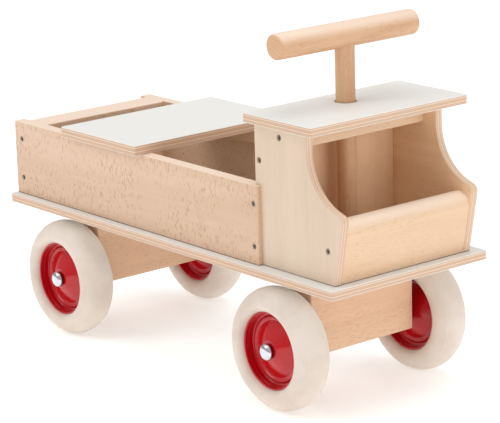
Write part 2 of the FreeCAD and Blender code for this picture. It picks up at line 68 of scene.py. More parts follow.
class Wire:    # a node's output, so that shader maths reads as an expression
    def __init__(self, graph, socket):
        self.graph = graph
        self.socket = socket

    def __add__(self, other):
        return self.graph.maths("ADD", self, other)

    def __radd__(self, other):
        return self.graph.maths("ADD", other, self)

    def __sub__(self, other):
        return self.graph.maths("SUBTRACT", self, other)

    def __rsub__(self, other):
        return self.graph.maths("SUBTRACT", other, self)

    def __mul__(self, other):
        return self.graph.maths("MULTIPLY", self, other)

    def __rmul__(self, other):
        return self.graph.maths("MULTIPLY", other, self)

    def __truediv__(self, other):
        return self.graph.maths("DIVIDE", self, other)

    def __rtruediv__(self, other):
        return self.graph.maths("DIVIDE", other, self)

    def __pow__(self, other):
        return self.graph.maths("POWER", self, other)

    def __rpow__(self, other):
        return self.graph.maths("POWER", other, self)

    def __abs__(self):
        return self.graph.maths("ABSOLUTE", self)


class Graph:    # the nodes of a material or of the world
    def __init__(self, owner, surface="Principled BSDF"):
        owner.use_nodes = True
        self.owner = owner
        self.tree = owner.node_tree
        self.surface = self.tree.nodes[surface]

    def node(self, kind, settings=None, output=0, **sockets):    # a socket is named, or i and its number
        made = self.tree.nodes.new("ShaderNode" + kind)
        for name, value in (settings or {}).items():
            setattr(made, name, value)
        for name, value in sockets.items():
            key = int(name[1:]) if name[1:].isdigit() else name.replace("_", " ")
            self.feed(made.inputs[key], value)
        return Wire(self, made.outputs[output])

    def feed(self, socket, value):
        if isinstance(value, Wire):
            self.tree.links.new(value.socket, socket)
        elif isinstance(value, tuple) and len(value) == 3 and len(socket.default_value) == 4:
            socket.default_value = (*value, 1)
        else:
            socket.default_value = value

    def set(self, **values):    # sockets of the surface itself
        for name, value in values.items():
            self.feed(self.surface.inputs[name.replace("_", " ")], value)

    def bump(self, height, strength, distance):
        normal = self.node("Bump", None, "Normal", Strength=strength, Distance=distance, Height=height)
        self.set(Normal=normal)

    def maths(self, operation, first, second=0.0):
        return self.node("Math", {"operation": operation}, i0=first, i1=second)

    def mix(self, factor, first, second):    # colours
        return self.node("Mix", {"data_type": "RGBA"}, 2, i0=factor, i6=first, i7=second)

    def between(self, value, low, high):    # 0 at low, 1 at high, smooth on the way
        settings = {"interpolation_type": "SMOOTHSTEP"}
        return self.node("MapRange", settings, Value=value, From_Min=low, From_Max=high)

    def point(self):    # object coordinates
        return self.node("TexCoord", None, "Object")

    def normal(self):    # the way a face looks, in the same axes
        return self.node("TexCoord", None, "Normal")

    def split(self, vector):
        parts = self.node("SeparateXYZ", None, 0, Vector=vector).socket.node
        return [Wire(self, output) for output in parts.outputs]

    def join(self, x, y, z):
        return self.node("CombineXYZ", None, X=x, Y=y, Z=z)

    def noise(self, vector, scale, detail=3.0, roughness=0.55, distortion=0.0):
        return self.node("TexNoise", None, "Fac", Vector=vector, Scale=scale, Detail=detail,
                         Roughness=roughness, Distortion=distortion)


def rgb(red, green, blue):    # a screen colour of 0 to 255 as linear light
    linear = []
    for level in (red / 255, green / 255, blue / 255):
        linear.append(level / 12.92 if level < 0.0404 else ((level + 0.055) / 1.055) ** 2.4)
    return tuple(linear)


beechCargo = {"light": rgb(229, 198, 171), "dark": rgb(217, 182, 153), "fleck": rgb(180, 138, 104),
              "fleckAcross": True, "fleckAmount": 0.5, "fleckFrom": 0.57, "tone": 1.0}
beechBlock = {"light": rgb(232, 192, 158), "dark": rgb(220, 176, 142), "fleck": rgb(178, 130, 88),
              "fleckAcross": False, "fleckAmount": 0.35, "fleckFrom": 0.58, "tone": 1.0}
beechFront = {"light": rgb(236, 203, 170), "dark": rgb(226, 188, 154), "fleck": rgb(188, 144, 104),
              "fleckAcross": False, "fleckAmount": 0.25, "fleckFrom": 0.58, "tone": 1.0}
beechTurned = {"light": rgb(226, 184, 147), "dark": rgb(202, 154, 115), "fleck": rgb(180, 130, 90),
               "fleckAcross": False, "fleckAmount": 0.35, "fleckFrom": 0.58, "tone": 1.6}
# painted light: the wood inside the cab, lighter and warmer than the outer faces, for light bounced about
# inside the cab
beechInsideBounceLit = {"light": rgb(252, 216, 178), "dark": rgb(240, 198, 156), "fleck": rgb(200, 152, 110),
               "fleckAcross": False, "fleckAmount": 0.2, "fleckFrom": 0.58, "tone": 1.0}
birchFace = {"light": rgb(230, 209, 188), "dark": rgb(222, 196, 170), "fleck": rgb(200, 172, 140),
             "fleckAcross": False, "fleckAmount": 0.12, "fleckFrom": 0.58, "tone": 0.8}
# waves a metre along the grain, then up and deep across it
grain = {"broad": (2.2, 16, 16), "figure": (3, 60, 60), "fibre": (40, 1400, 1400),
         "fleckAcross": (560, 190, 300), "fleckAlong": (130, 1050, 1050), "cluster": (14, 22, 22),
         "toneReach": 0.16, "fleckSoft": 0.09}
endGrain = {"heart": (0.02, 0.03), "rings": 1400, "wander": 12, "contrast": 0.18, "dark": 0.1, "amount": 0.8}
paintedTopLight = {"pale": rgb(250, 230, 212), "amount": 0.65}    # painted highlight: tops and arrises are painted paler, for light from above
# painted shadow at a board's foot: its dark colour and the heights over which it fades
paintedFootShadow = {"dark": rgb(74, 58, 46), "full": 0.5 * mm, "gone": 1.1 * mm, "amount": 0.85}


def alongUpDeep(graph, vector, way):    # a vector's parts, the one along the grain first
    parts = graph.split(vector)
    order = {"X": (0, 2, 1), "Y": (1, 2, 0), "Z": (2, 0, 1)}[way]
    return [parts[number] for number in order]


def stretched(graph, parts, scale, seed):
    along, up, deep = parts
    return graph.join(along * scale[0] + seed, up * scale[1], deep * scale[2])


def woodColour(graph, look, way, seed):    # colour, fibre and flecks
    parts = alongUpDeep(graph, graph.point(), way)
    broad = graph.noise(stretched(graph, parts, grain["broad"], seed), 1.0, 4.0, 0.5, 0.4)
    figure = graph.noise(stretched(graph, parts, grain["figure"], seed), 1.0, 3.0, 0.6, 1.2)
    fibre = graph.noise(stretched(graph, parts, grain["fibre"], seed), 1.0, 2.0, 0.7)
    reach = grain["toneReach"] / look["tone"]
    tone = graph.between(broad * 0.55 + figure * 0.3 + fibre * 0.15, 0.5 - reach, 0.5 + reach)
    colour = graph.mix(tone, look["light"], look["dark"])
    # the flecks of a quartered board stand across its grain
    fleckScale = grain["fleckAcross"] if look["fleckAcross"] else grain["fleckAlong"]
    short = graph.noise(stretched(graph, parts, fleckScale, seed), 1.0, 1.0, 0.4)
    groups = graph.noise(stretched(graph, parts, grain["cluster"], seed), 1.0, 2.0)
    cluster = graph.between(groups, 0.30, 0.56)
    fleck = graph.between(short, look["fleckFrom"], look["fleckFrom"] + grain["fleckSoft"]) * cluster
    colour = graph.mix(fleck * look["fleckAmount"], colour, look["fleck"])
    # the ends are darker, with rings round a heart outside the piece
    across = (parts[1] - endGrain["heart"][0]) ** 2 + (parts[2] - endGrain["heart"][1]) ** 2
    turns = graph.maths("SQRT", across) * endGrain["rings"] + broad * endGrain["wander"]
    rings = graph.maths("SINE", turns) * 0.5 + 0.5
    endColour = graph.mix(rings * endGrain["contrast"] + endGrain["dark"], look["light"], look["fleck"])
    facing = abs(alongUpDeep(graph, graph.normal(), way)[0])
    end = graph.between(facing, 0.75, 0.9)
    return graph.mix(end * endGrain["amount"], colour, endColour), fibre, fleck


def footShadowed(graph, colour, foot):    # painted shadow: a dark line at the foot where a board stands on another, for the shade in the gap
    height = graph.split(graph.point())[2]
    near = 1 - graph.between(height, foot + paintedFootShadow["full"], foot + paintedFootShadow["gone"])
    return graph.mix(near * paintedFootShadow["amount"], colour, paintedFootShadow["dark"])


def woodMaterial(name, look, way, seed, foot=None):
    graph = Graph(bpy.data.materials.new(name))
    colour, fibre, fleck = woodColour(graph, look, way, seed)
    # painted highlight: faces turned upwards are mixed towards a paler colour, for light falling from above
    litFromAbove = graph.between(graph.split(graph.normal())[2], 0.15, 0.8)
    colour = graph.mix(litFromAbove * paintedTopLight["amount"], colour, paintedTopLight["pale"])
    if foot is not None:
        # a painted shadow darkens the board's foot
        colour = footShadowed(graph, colour, foot)
    graph.set(Base_Color=colour, Roughness=0.42 + fibre * 0.18, Specular_IOR_Level=0.35)
    graph.set(Coat_Roughness=0.35, Coat_Weight=0.12 + fibre * 0.05)
    graph.bump(fibre * 0.6 - fleck * 0.5, 0.25, 0.00025)
    return graph.owner


plyEdge = {"pale": rgb(232, 204, 180), "tan": rgb(218, 184, 156), "glue": rgb(156, 116, 90), "plies": 5.0,
           "boardGlue": 0.7, "panelGlue": 0.35}
laminate = {"pale": rgb(238, 237, 232), "dull": rgb(227, 226, 221), "skin": (0.6 * mm, 0.9 * mm)}


def plyBands(graph, depth, thickness, glueAmount):    # plies by depth, with a glue line between them
    x, y, z = graph.split(graph.point())
    wander = graph.noise(graph.join(x * 20, y * 20, z * 20), 1.0, 2.0) * 0.16
    ply = graph.maths("PINGPONG", depth / thickness * plyEdge["plies"] + wander, 1.0)
    grains = graph.noise(graph.join(x * 500, y * 500, z * 900), 1.0, 3.0, 0.7)
    colour = graph.mix(graph.between(ply, 0.40, 0.60), plyEdge["pale"], plyEdge["tan"])
    colour = graph.mix(graph.between(grains, 0.45, 0.75) * 0.35, colour, plyEdge["tan"])
    glue = 1 - graph.between(abs(ply - 0.5), 0.02, 0.11)
    return graph.mix(glue * glueAmount, colour, plyEdge["glue"]), grains


def laminateMaterial(name, bottom, top):    # ply that lies flat, with a laminate skin on both faces
    graph = Graph(bpy.data.materials.new(name))
    point = graph.point()
    height = graph.split(point)[2]
    bands, grains = plyBands(graph, height - bottom, top - bottom, plyEdge["boardGlue"])
    speckle = graph.noise(point, 420.0, 3.0, 0.6)
    cloud = graph.noise(point, 6.0, 2.0)
    sheet = graph.mix(speckle * 0.25 + cloud * 0.2, laminate["pale"], laminate["dull"])
    face = graph.between(abs(graph.split(graph.normal())[2]), 0.55, 0.8)
    fromFace = graph.maths("MINIMUM", height - bottom, top - height)
    skin = 1 - graph.between(fromFace, *laminate["skin"])    # seen on the edge as a pale line
    colour = graph.mix(graph.maths("MAXIMUM", face, skin), bands, sheet)
    graph.set(Base_Color=colour, Roughness=0.62 - face * 0.24 + speckle * 0.06, Specular_IOR_Level=0.4)
    graph.bump(speckle * face * 0.3 + grains * (1 - face), 0.12, 0.0002)
    return graph.owner


def panelMaterial(name, inner, outer, foot):    # a cab side: ply on edge, from its inner face to its outer
    graph = Graph(bpy.data.materials.new(name))
    outside, fibre = woodColour(graph, birchFace, "Z", inner * 40)[:2]
    # painted light: the inner faces get a lighter, warmer copy of the wood, for light bounced inside the cab
    inside = woodColour(graph, beechInsideBounceLit, "X", inner * 60)[0]
    across = graph.split(graph.point())[1]
    facing = graph.split(graph.normal())[1]
    faces = graph.mix(graph.between(across * facing, 0.0, -0.02), outside, inside)
    bands, grains = plyBands(graph, abs(across) - inner, outer - inner, plyEdge["panelGlue"])
    face = graph.between(abs(facing), 0.6, 0.85)
    # a painted shadow darkens the panel's foot
    colour = footShadowed(graph, graph.mix(face, bands, faces), foot)
    graph.set(Base_Color=colour, Roughness=0.5 + fibre * 0.12, Specular_IOR_Level=0.35)
    graph.set(Coat_Roughness=0.35, Coat_Weight=0.1 + fibre * 0.04)
    graph.bump(fibre * 0.5 + grains * (1 - face), 0.15, 0.0002)
    return graph.owner


rubber = {"pale": rgb(232, 219, 207), "dull": rgb(221, 206, 193), "rough": 0.52}
enamel = {"bright": rgb(206, 8, 22), "deep": rgb(184, 2, 14), "rough": 0.22, "coat": 0.55}
zinc = {"bright": rgb(226, 230, 236), "dull": rgb(196, 200, 206), "rough": 0.12}
drawn = {"bright": rgb(170, 170, 170), "dull": rgb(140, 140, 140), "rough": 0.3}
screwZinc = {"bright": rgb(158, 150, 138), "dull": rgb(120, 110, 98), "rough": 0.34}
# near-black washers: partly their own colour and partly painted shade of the dark ring behind each cap
darkAndShadedSteel = {"bright": rgb(52, 50, 52), "dull": rgb(34, 32, 34), "rough": 0.35}
paleNylon = {"light": rgb(226, 222, 208), "dark": rgb(212, 206, 190), "rough": 0.45}
# near-black hub bushes: partly their own colour and partly painted shade of the ring behind each cap
darkNylon = {"light": rgb(38, 36, 36), "dark": rgb(26, 24, 25), "rough": 0.45}


def tyreMaterial(name, look):
    graph = Graph(bpy.data.materials.new(name))
    bloom = graph.noise(graph.point(), 22.0, 4.0, 0.6)
    pore = graph.noise(graph.point(), 900.0, 2.0, 0.6)
    colour = graph.mix(graph.between(bloom, 0.35, 0.7), look["pale"], look["dull"])
    graph.set(Base_Color=colour, Roughness=look["rough"] + bloom * 0.12, Specular_IOR_Level=0.4)
    graph.set(Subsurface_Weight=0.06, Subsurface_Radius=(0.012, 0.008, 0.005), Subsurface_Scale=0.4)
    graph.bump(pore, 0.08, 0.0002)
    return graph.owner


def enamelMaterial(name, look):
    graph = Graph(bpy.data.materials.new(name))
    flow = graph.noise(graph.point(), 60.0, 2.0, 0.5)
    peel = graph.noise(graph.point(), 420.0, 2.0, 0.5)
    graph.set(Base_Color=graph.mix(flow, look["bright"], look["deep"]), Specular_IOR_Level=0.25)
    graph.set(Roughness=look["rough"] + flow * 0.08)
    graph.set(Coat_Weight=look["coat"] + flow * 0.2, Coat_Roughness=0.02)
    graph.bump(peel, 0.05, 0.0003)
    return graph.owner


def metalMaterial(name, look):
    graph = Graph(bpy.data.materials.new(name))
    stain = graph.noise(graph.point(), 90.0, 3.0, 0.6)
    scratch = graph.noise(graph.point(), 260.0, 3.0, 0.7)
    graph.set(Base_Color=graph.mix(stain, look["bright"], look["dull"]), Metallic=1.0)
    graph.set(Roughness=look["rough"] + scratch * 0.14)
    graph.bump(scratch, 0.1, 0.0001)
    return graph.owner


def nylonMaterial(name, look):
    graph = Graph(bpy.data.materials.new(name))
    cloud = graph.noise(graph.point(), 120.0, 3.0)
    graph.set(Base_Color=graph.mix(cloud, look["light"], look["dark"]), Roughness=look["rough"] + cloud * 0.1)
    graph.bump(cloud, 0.05, 0.0001)
    return graph.owner


def rounded(corners, steps=8):    # outline points from corners (a, b, radius); a radius of 0 stays sharp
    points = []
    for number, (a, b, radius) in enumerate(corners):
        here = Vector((a, b))
        if radius <= 0:
            points.append(here)
            continue
        before = (Vector(corners[number - 1][:2]) - here).normalized()
        after = (Vector(corners[(number + 1) % len(corners)][:2]) - here).normalized()
        half = before.angle(after) / 2
        centre = here + (before + after).normalized() * radius / math.sin(half)
        arm = here + before * radius / math.tan(half) - centre
        turn = math.pi - 2 * half
        if before.cross(after) > 0:
            turn = -turn
        for step in range(steps + 1):
            points.append(centre + Matrix.Rotation(turn * step / steps, 2) @ arm)
    return points


def rectangle(low, high, radius=0.0):
    return [(low[0], low[1], radius), (high[0], low[1], radius),
            (high[0], high[1], radius), (low[0], high[1], radius)]


def placeOn(axis, a, b, level):    # an outline's point at a level of the axis
    if axis == "Y":
        return (a, level, b)
    return (a, b, level)


def prism(points, axis, low, high):    # a closed solid of an outline, along Y or Z
    mesh = bmesh.new()
    caps = [[mesh.verts.new(placeOn(axis, p.x, p.y, level)) for p in points] for level in (low, high)]
    for number in range(len(points)):
        following = (number + 1) % len(points)
        mesh.faces.new((caps[0][number], caps[0][following], caps[1][following], caps[1][number]))
    mesh.faces.new(caps[0])
    mesh.faces.new(caps[1])
    bmesh.ops.recalc_face_normals(mesh, faces=mesh.faces)
    return mesh


def middle(edge):
    return (edge.verts[0].co + edge.verts[1].co) / 2


def steep(edge):
    return edge.calc_face_angle(0) > math.radians(60)


def ease(mesh, width, test=lambda edge: True, segments=3):    # rounds the sharp edges that pass the test
    sharp = [edge for edge in mesh.edges if len(edge.link_faces) == 2
             and edge.calc_face_angle(0) > math.radians(30) and test(edge)]
    if sharp:
        bmesh.ops.bevel(mesh, geom=sharp, offset=width, segments=segments, affect="EDGES", profile=0.5,
                        clamp_overlap=True)
    return mesh


def ringOf(mesh, radius, height, segments):
    if radius < 1e-7:    # on the axis
        return [mesh.verts.new((0, 0, height))]
    angles = [2 * math.pi * n / segments for n in range(segments)]
    return [mesh.verts.new((radius * math.cos(turn), radius * math.sin(turn), height)) for turn in angles]


def lathe(profile, closed, segments):    # turns an outline of (radius, height) about Z
    mesh = bmesh.new()
    rings = [ringOf(mesh, radius, height, segments) for radius, height in profile]
    pairs = list(zip(rings, rings[1:]))
    if closed:
        pairs.append((rings[-1], rings[0]))
    for first, second in pairs:
        for n in range(segments):
            m = (n + 1) % segments
            if len(first) == 1:
                mesh.faces.new((first[0], second[m], second[n]))
            elif len(second) == 1:
                mesh.faces.new((first[n], first[m], second[0]))
            else:
                mesh.faces.new((first[n], first[m], second[m], second[n]))
    bmesh.ops.recalc_face_normals(mesh, faces=mesh.faces)
    return mesh


def lay(mesh, matrix):
    bmesh.ops.transform(mesh, matrix=matrix, verts=mesh.verts)
    return mesh


def aim(point, way):    # puts a turned shape's axis at a point, along a direction
    return Matrix.Translation(point) @ Vector((0, 0, 1)).rotation_difference(way).to_matrix().to_4x4()


def merge(meshes):
    whole = bmesh.new()
    for part in meshes:
        loose = bpy.data.meshes.new("part")
        part.to_mesh(loose)
        whole.from_mesh(loose)
        part.free()
        bpy.data.meshes.remove(loose)
    return whole


def meshData(name, mesh):    # faces outwards, and the working mesh freed
    data = bpy.data.meshes.new(name)
    if mesh.calc_volume(signed=True) < 0:
        bmesh.ops.reverse_faces(mesh, faces=mesh.faces)
    mesh.to_mesh(data)
    mesh.free()
    return data


def show(name, mesh, material, *nodes, flat=False, angle=40):    # a piece that stands for the named nodes
    data = meshData(name, mesh)
    data.materials.append(material)
    data.polygons.foreach_set("use_smooth", [True] * len(data.polygons))
    data.set_sharp_from_angle(angle=math.radians(angle))
    piece = bpy.data.objects.new(name, data)
    bpy.context.scene.collection.objects.link(piece)
    if flat:
        piece.modifiers.new("flatFaces", "WEIGHTED_NORMAL").keep_sharp = True
    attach(piece, nodeBody[nodes[0]])
    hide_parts(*nodes)
    return piece


def paint(node, material):    # gives a node that stays in view its material
    slots = frame["nodes"][node].data.materials
    if len(slots) == 0:
        slots.append(material)
    for number in range(len(slots)):
        slots[number] = material


def carve(piece, cutter):    # takes the cutter off a flat-faced piece for good
    tool = bpy.data.objects.new("cutter", meshData("cutter", cutter))
    bpy.context.scene.collection.objects.link(tool)
    piece.modifiers.clear()
    cut = piece.modifiers.new("cut", "BOOLEAN")
    cut.operation = "DIFFERENCE"
    cut.solver = "MANIFOLD"
    cut.object = tool
    bpy.context.view_layer.update()
    shaped = bpy.data.meshes.new_from_object(piece.evaluated_get(bpy.context.evaluated_depsgraph_get()))
    piece.modifiers.clear()
    piece.data = shaped
    piece.modifiers.new("flatFaces", "WEIGHTED_NORMAL").keep_sharp = True
    bpy.data.objects.remove(tool)


screw = {"head": 3.4 * mm, "sink": 0.7 * mm, "recess": 1.5 * mm, "shank": 1.9 * mm, "neck": 3.2 * mm,
         "thread": 24 * mm, "tip": 25.5 * mm}
countersink = {"mouth": 3.75 * mm, "throat": 3.42 * mm, "throatAt": 0.8 * mm, "foot": 1.9 * mm,
               "deep": 3 * mm}


def islands(mesh):    # the points of each separate solid
    left = set(mesh.verts)
    found = []
    while left:
        reached = [left.pop()]
        for vertex in reached:    # the list grows while it is walked
            for edge in vertex.link_edges:
                other = edge.other_vert(vertex)
                if other in left:
                    left.discard(other)
                    reached.append(other)
        found.append([vertex.co.copy() for vertex in reached])
    return found


def offAxis(point, centre, axis):
    arm = point - centre
    arm[axis] = 0
    return arm.length


def screwPlaces(node):    # where each head is and which way it faces, read from the node's solids
    mesh = bmesh.new()
    mesh.from_mesh(frame["nodes"][node].data)
    bmesh.ops.remove_doubles(mesh, verts=mesh.verts, dist=1e-6)
    places = []
    for points in islands(mesh):
        low = Vector([min(p[i] for p in points) for i in range(3)])
        high = Vector([max(p[i] for p in points) for i in range(3)])
        centre = (low + high) / 2
        axis = max(range(3), key=lambda i: high[i] - low[i])
        spread = {}
        for way, level in ((-1, low[axis]), (1, high[axis])):
            spread[way] = max(offAxis(p, centre, axis) for p in points if abs(p[axis] - level) < 1e-5)
        facing = max(spread, key=spread.get)    # the head is the wide end
        head = centre.copy()
        head[axis] = high[axis] if facing > 0 else low[axis]
        normal = Vector((0, 0, 0))
        normal[axis] = facing
        places.append((head, normal))
    mesh.free()
    return sorted(places, key=lambda place: tuple(place[0]))


def screwMesh(point, way):
    r, face, neck = screw["head"], -screw["sink"], -screw["neck"]
    floor = face - screw["recess"]
    recess = [(0, floor), (r * 0.34, floor), (r * 0.46, floor + screw["recess"] * 0.1),
              (r * 0.50, face - 0.15 * mm)]
    head = [(r * 0.56, face), (r * 0.86, face - 0.05 * mm), (r * 0.97, face - 0.25 * mm),
            (r * 0.60, neck + 0.6 * mm)]
    shank = [(screw["shank"], neck), (screw["shank"], -screw["thread"]), (0, -screw["tip"])]
    return lay(lathe(recess + head + shank, False, 24), aim(point, way))


def sinkMesh(point, way):
    above = 1 * mm
    profile = [(0, above), (countersink["mouth"], above), (countersink["mouth"], -0.1 * mm),
               (countersink["throat"], -countersink["throatAt"]), (countersink["foot"], -countersink["deep"]),
               (0, -countersink["deep"])]
    return lay(lathe(profile, False, 24), aim(point, way))


def drill(piece, places):
    carve(piece, merge([sinkMesh(*place) for place in places]))


def facingOut(places, sign):
    return [place for place in places if place[1].y * sign > 0.5]


screws = {name: screwPlaces(name) for name in nodeBody if name.endswith("_screws")}
boards = {"corner": 3 * mm, "arris": 0.7 * mm, "postHole": 12.5 * mm, "holePast": 10 * mm}


def board(name, node, material, corner=0.0):
    low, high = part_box(node)
    outline = rounded(rectangle(low[:2], high[:2], corner))
    mesh = ease(prism(outline, "Z", low.z, high.z), boards["arris"])
    return show(name, mesh, material, node, flat=True)


def makeFlatBoards():
    made = {}
    for name in ("base", "seat", "roof"):
        low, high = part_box(f"{name}_board")
        ply = laminateMaterial(f"{name}BoardPly", low.z, high.z)
        made[name] = board(f"{name}Board", f"{name}_board", ply, boards["corner"])
    drill(made["base"], screws["floor_screws"])
    postLow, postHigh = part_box("steering_post")
    roofLow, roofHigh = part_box("roof_board")
    centre = (postLow + postHigh) / 2
    radius, bottom, top = boards["postHole"], roofLow.z - boards["holePast"], roofHigh.z + boards["holePast"]
    hole = lathe([(0, bottom), (radius, bottom), (radius, top), (0, top)], False, 48)
    carve(made["roof"], lay(hole, Matrix.Translation((centre.x, centre.y, 0))))


cargo = {"topArris": 3 * mm, "corner": 2 * mm, "lap": 9 * mm, "rearRound": 12 * mm}


def makeCargoSide(side, sign):
    low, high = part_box(f"cargo_side_{side.lower()}")
    cabLow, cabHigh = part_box(f"cab_side_{side.lower()}")
    if sign > 0:
        outer, inner, cabOuter = high.y, low.y, cabHigh.y
    else:
        outer, inner, cabOuter = low.y, high.y, cabLow.y
    lapEnd = high.x - cargo["lap"]
    corners = [(low.x, outer, cargo["corner"]), (high.x, outer, cargo["corner"]), (high.x, cabOuter, 0),
               (lapEnd, cabOuter, 0), (lapEnd, inner, 0), (low.x, inner, 0)]
    mesh = prism(rounded(corners, 4), "Z", low.z, high.z)

    def topOuter(edge):
        place = middle(edge)
        return abs(place.z - high.z) < 1e-6 and abs(place.y - outer) < cargo["topArris"]

    ease(mesh, cargo["topArris"], topOuter, 5)
    ease(mesh, boards["arris"], steep)
    material = woodMaterial(f"cargo{side}Beech", beechCargo, "X", 3.0 * sign, low.z)
    piece = show(f"cargoSide{side}", mesh, material, f"cargo_side_{side.lower()}", flat=True)
    drill(piece, facingOut(screws["cargo_side_screws"], sign))


def makeCargoBox():
    for side, sign in sides:
        makeCargoSide(side, sign)
    low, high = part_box("rear_board")
    corners = [(low.x, low.z, 0), (high.x, low.z, 0), (high.x, high.z, cargo["corner"]),
               (low.x, high.z, cargo["rearRound"])]
    mesh = prism(rounded(corners), "Y", low.y, high.y)
    show("rearBoard", mesh, woodMaterial("rearBeech", beechCargo, "Y", 7.0), "rear_board", flat=True)
    for side, sign in sides:
        material = woodMaterial(f"batten{side}", beechFront, "X", 2.0)
        piece = board(f"seatBatten{side}", f"seat_batten_{side.lower()}", material)
        drill(piece, [place for place in screws["seat_screws"] if place[0].y * sign > 0])


# reaches run forwards from the cab side's rear edge, heights up from its foot
cab = {"sillReach": 128.5 * mm, "sillRound": 1 * mm, "kneeReach": 143 * mm, "kneeHeight": 76.4 * mm,
       "kneeRound": 8 * mm, "pillarReach": 86 * mm, "arcHeight": 94.9 * mm, "arc": 62 * mm,
       "panelThick": 30 * mm, "panelRound": 14 * mm}


def makeCab():
    for side, sign in sides:
        low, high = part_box(f"cab_side_{side.lower()}")
        rear = low.x
        corners = [
            (rear, low.z, 0), (rear + cab["sillReach"], low.z, cab["sillRound"]),
            (rear + cab["kneeReach"], low.z + cab["kneeHeight"], cab["kneeRound"]),
            (rear + cab["pillarReach"], low.z + cab["arcHeight"], cab["arc"]),
            (rear + cab["pillarReach"], high.z, 0), (rear, high.z, 0),
        ]
        mesh = ease(prism(rounded(corners, 14), "Y", low.y, high.y), boards["arris"], steep)
        inner, outer = sorted((abs(low.y), abs(high.y)))
        material = panelMaterial(f"cab{side}Ply", inner, outer, low.z)
        piece = show(f"cabSide{side}", mesh, material, f"cab_side_{side.lower()}", flat=True)
        drill(piece, facingOut(screws["cab_side_screws"], sign))
    low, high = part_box("cab_front_panel")
    lean = (cab["kneeReach"] - cab["sillReach"]) / cab["kneeHeight"] * (high.z - low.z)
    front = low.x + cab["panelThick"]
    corners = [(low.x, low.z, 0), (front, low.z, 0), (front + lean, high.z, cab["panelRound"]),
               (low.x + lean, high.z, cab["panelRound"])]
    mesh = prism(rounded(corners, 12), "Y", low.y, high.y)
    material = woodMaterial("frontBeech", beechFront, "Y", 11.0, low.z)
    show("cabFrontPanel", mesh, material, "cab_front_panel", flat=True)
    # the back wall takes the lighter, warmer inside colour, painted light bounced inside the cab
    board("cabBackWall", "cab_back_wall", woodMaterial("wallBeech", beechInsideBounceLit, "Z", 5.0))
    bearing = board("bearingBoard", "bearing_board", woodMaterial("bearingBeech", beechFront, "Y", 1.0))
    drill(bearing, screws["roof_screws"])


axleBlock = {"corner": 2 * mm, "arris": 1.2 * mm}


def makeAxleBlocks():
    for end, seed in (("rear", 0.0), ("front", 9.0)):
        low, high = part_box(f"{end}_axle_block")
        outline = rounded(rectangle(low[:2], high[:2], axleBlock["corner"]), 4)
        mesh = ease(prism(outline, "Z", low.z, high.z), axleBlock["arris"], steep)
        material = woodMaterial(f"{end}AxleBlockBeech", beechBlock, "Y", seed)
        show(f"{end}AxleBlock", mesh, material, f"{end}_axle_block", flat=True)


handle = {"endRound": 3 * mm}


def makeSteering():
    low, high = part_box("steering_post")
    centre = (low + high) / 2
    radius = (high.x - low.x) / 2
    profile = [(0, low.z), (radius, low.z), (radius, high.z), (0, high.z)]
    post = lay(lathe(profile, False, 64), Matrix.Translation((centre.x, centre.y, 0)))
    show("steeringPost", post, woodMaterial("postBeech", beechTurned, "Z", 4.0), "steering_post", angle=50)
    low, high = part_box("handlebar")
    radius = (high.z - low.z) / 2
    half = (high.y - low.y) / 2
    corners = [(0, -half, 0), (radius, -half, handle["endRound"]), (radius, half, handle["endRound"]),
               (0, half, 0)]
    bar = lay(lathe(rounded(corners, 5), False, 64), aim((low + high) / 2, Vector((0, 1, 0))))
    material = woodMaterial("barBeech", beechTurned, "Y", 8.0)
    show("handleBar", bar, material, "handlebar", "handlebar_pin", angle=50)


# a wheel's outlines are (distance from the axle, height outwards from the wheel's middle plane)
tyre = {"radius": 70 * mm, "section": 24 * mm, "edgeRound": 8.5 * mm, "edgeSteps": 9, "sectionSteps": 56,
        "mouldRing": 0.25 * mm, "mouldRingAt": 0.66, "mouldRingHalf": 0.05}
rim = {"bore": 44.2 * mm, "halfWidth": 15.5 * mm, "metal": 1.5 * mm, "curl": 0.9 * mm,
       "curlThick": 2.0 * mm, "curlWide": 1.8 * mm, "bend": 0.5 * mm, "bendEnd": 2.6 * mm}
# flange is a height; trough, ring and dish rim lie in from the rim's bore, the rest out from the axle
disc = {"flange": 10 * mm, "trough": 6 * mm, "ring": 8 * mm, "dishRim": 10.8 * mm, "dish": 22 * mm,
        "hubFace": 12.5 * mm, "hole": 8 * mm}


def tyreOutline():    # a round section whose faces turn in to the rim, from the inner face to the outer
    section, edge = tyre["section"], tyre["edgeRound"]
    core = tyre["radius"] - section
    shoulder = rim["bore"] + edge
    level = math.sqrt((section - edge) ** 2 - (shoulder - core) ** 2)
    first = math.atan2(shoulder - core, level)
    turnIn = []
    for n in range(tyre["edgeSteps"]):
        turn = (math.pi / 2 + first) * n / tyre["edgeSteps"]
        turnIn.append((shoulder - edge * math.cos(turn), level + edge * math.sin(turn)))
    points = [(radius, -height) for radius, height in turnIn]
    for n in range(tyre["sectionSteps"] + 1):
        turn = first + (math.pi - 2 * first) * n / tyre["sectionSteps"]
        offRing = abs(abs(turn - math.pi / 2) - tyre["mouldRingAt"])
        grown = section + tyre["mouldRing"] * max(0, 1 - offRing / tyre["mouldRingHalf"])
        points.append((core + grown * math.sin(turn), -grown * math.cos(turn)))
    return points + turnIn[::-1]


def rimOutline():    # a barrel with a curled lip at each edge
    bore, edge = rim["bore"], rim["halfWidth"]
    lip = [(bore, edge, rim["curl"]), (bore - rim["curlThick"], edge, rim["curl"]),
           (bore - rim["curlThick"], edge - rim["curlWide"], rim["bend"]),
           (bore - rim["metal"], edge - rim["bendEnd"], rim["bend"])]
    return rounded(lip + [(radius, -height, curve) for radius, height, curve in reversed(lip)], 4)


